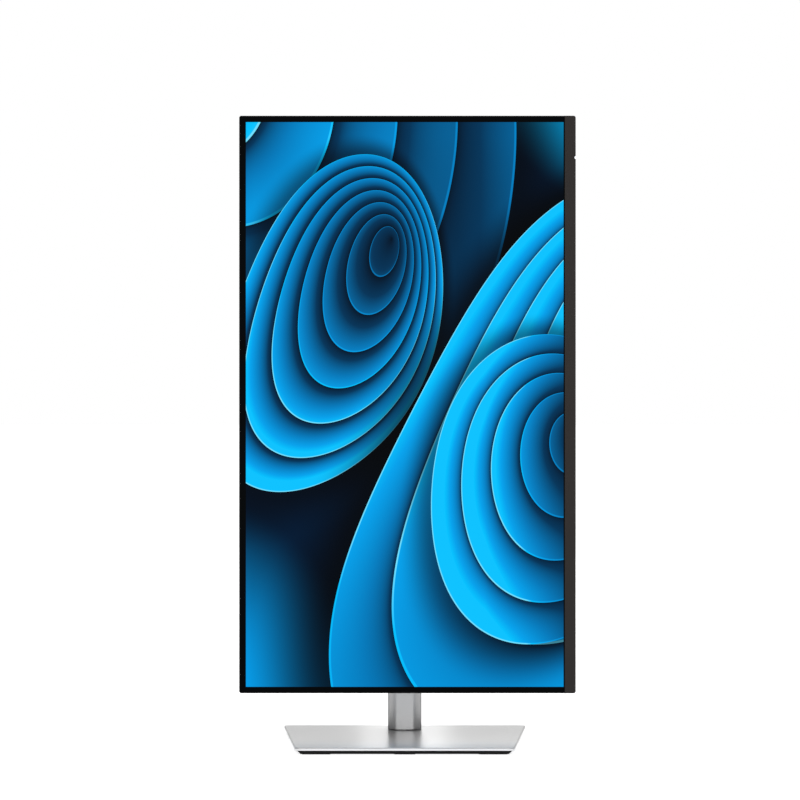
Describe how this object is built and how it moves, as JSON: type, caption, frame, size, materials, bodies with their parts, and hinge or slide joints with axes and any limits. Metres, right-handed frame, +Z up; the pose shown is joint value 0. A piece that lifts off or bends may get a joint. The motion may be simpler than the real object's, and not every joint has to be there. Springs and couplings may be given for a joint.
{
  "type": "computer monitor",
  "caption": "Flat desktop monitor held upright on a height-adjustable stand that also tilts, swivels and pivots; slim black border, silver column and wedge-shaped base plate.",
  "frame": {"origin": "on the desk, under the middle of the base plate's depth and on the stand's centre line", "axes": "+Z up, -Y the way the screen faces, +X to the right of someone looking at the screen"},
  "size_m": [0.314, 0.18, 0.5894],
  "materials": {
    "bezel_black": "fine matte",
    "chin_grey": "satin dark grey",
    "screen": "satin anti-glare film, lit",
    "panel_glass": "clear",
    "cover_black": "fine texture",
    "white_plastic": "satin",
    "film": "satin",
    "acrylic": "polished",
    "sheet_metal": "mill",
    "circuit_board": "solder mask",
    "flex_tape": "film",
    "chip_black": "moulded",
    "heatsink": "anodised",
    "socket_metal": "plated",
    "contact_gold": "plated",
    "inlet_black": "moulded",
    "component_grey": "sleeved",
    "transformer_yellow": "taped",
    "screw_steel": "plated",
    "button_black": "satin",
    "status_white": "clear, lit",
    "spring_steel": "bright",
    "mount_black": "powder coat",
    "hub_grey": "fine texture",
    "acetal_white": "moulded",
    "column_silver": "satin",
    "cap_grey": "satin",
    "base_silver": "satin",
    "tray_black": "fine texture",
    "foot_rubber": "matte",
    "weight_steel": "raw"
  },
  "bodies": {
    "base": {"base_plate": "base_silver", "base_tray": "tray_black", "base_feet": "foot_rubber", "base_weight": "weight_steel", "swivel_spindle": "screw_steel", "swivel_fasteners": "screw_steel"},
    "thumbscrew": {"base_screw": "screw_steel"},
    "column": {"column_shell": "column_silver", "cable_slot_liner": "cap_grey", "column_cap": "cap_grey", "guide_rails": "screw_steel", "column_foot": "sheet_metal", "column_screws": "screw_steel", "spring_tape": "spring_steel"},
    "carriage": {"carriage": "mount_black", "rail_bushes": "acetal_white"},
    "spring_reel": {"spring_spool": "acetal_white", "spring_roll": "spring_steel"},
    "tilt_head": {"tilt_bracket": "mount_black", "tilt_pin": "screw_steel", "tilt_springs": "spring_steel", "hub_cover": "hub_grey"},
    "power_button": {"power_button": "button_black"},
    "stick_plunger": {"stick_plunger": "button_black"},
    "stick_ring": {"stick_ring": "button_black"},
    "stick_cap": {"stick_cap": "button_black"},
    "release_button": {"release_button": "button_black"},
    "release_latch": {"release_latch": "acetal_white"},
    "display": {"front_frame": "bezel_black", "chin_strip": "chin_grey", "status_light": "status_white", "colour_filter_glass": "panel_glass", "transistor_glass": "panel_glass", "polarizers": "screen", "panel_frame": "white_plastic", "optical_films": "film", "light_guide": "acrylic", "led_strip": "circuit_board", "panel_tray": "sheet_metal", "driver_tapes": "flex_tape", "driver_board": "circuit_board", "board_bracket": "sheet_metal", "main_board": "circuit_board", "power_board": "circuit_board", "board_chips": "chip_black", "chip_heatsink": "heatsink", "signal_sockets": "socket_metal", "power_inlet": "inlet_black", "socket_contacts": "contact_gold", "power_transformer": "transformer_yellow", "power_parts": "component_grey", "key_board": "circuit_board", "key_switches": "chip_black", "rear_cover": "cover_black", "cover_screws": "screw_steel", "release_spring": "spring_steel", "mount_plate": "mount_black", "pivot_shaft": "screw_steel", "pivot_washers": "spring_steel", "pivot_nut": "screw_steel"}
  },
  "joints": [
    {"name": "swivel", "type": "hinge", "parent": "base", "child": "column", "pos_m": [0, 0.064, 0], "axis": [0, 0, 1], "range_deg": [-45, 45]},
    {"name": "height", "type": "slide", "parent": "column", "child": "carriage", "axis": [0, 0, 1], "range_m": [-0.043, 0.022], "deforming": ["spring_tape"]},
    {"name": "tilt", "type": "hinge", "parent": "carriage", "child": "tilt_head", "pos_m": [0, 0.03, 0.32], "axis": [1, 0, 0], "range_deg": [-21, 5]},
    {"name": "pivot", "type": "hinge", "parent": "tilt_head", "child": "display", "pos_m": [0, 0, 0.32], "axis": [0, 1, 0], "range_deg": [0, 180]},
    {"name": "power_press", "type": "slide", "parent": "display", "child": "power_button", "axis": [-1, 0, 0], "range_m": [0, 0.0005], "stiffness_N_per_m": 600},
    {"name": "stick_press", "type": "slide", "parent": "display", "child": "stick_plunger", "axis": [0, -1, 0], "range_m": [0, 0.0003], "stiffness_N_per_m": 600},
    {"name": "stick_up_down", "type": "hinge", "parent": "stick_plunger", "child": "stick_ring", "pos_m": [0.138, -0.0188, 0.548], "axis": [0, 0, 1], "range_deg": [-8, 8], "stiffness_Nm_per_rad": 0.02},
    {"name": "stick_left_right", "type": "hinge", "parent": "stick_ring", "child": "stick_cap", "pos_m": [0.138, -0.0188, 0.548], "axis": [1, 0, 0], "range_deg": [-8, 8], "stiffness_Nm_per_rad": 0.02},
    {"name": "release_press", "type": "slide", "parent": "display", "child": "release_button", "axis": [0, -1, 0], "range_m": [0, 0.003], "stiffness_N_per_m": 400, "deforming": ["release_spring"]},
    {"name": "latch_slide", "type": "slide", "parent": "display", "child": "release_latch", "axis": [1, 0, 0], "range_m": [0, 0.0041]},
    {"name": "reel_turn", "type": "hinge", "parent": "carriage", "child": "spring_reel", "pos_m": [0, 0.062, 0.28], "axis": [1, 0, 0], "range_deg": [-113, 220]},
    {"name": "thumbscrew_turn", "type": "hinge", "parent": "base", "child": "thumbscrew", "pos_m": [0, 0.064, 0], "axis": [0, 0, 1], "continuous": true}
  ],
  "couplings": [
    {"joint": "latch_slide", "follows": "release_press", "ratio": 1.3333},
    {"joint": "reel_turn", "follows": "height", "rad_per_m": -88.496}
  ]
}
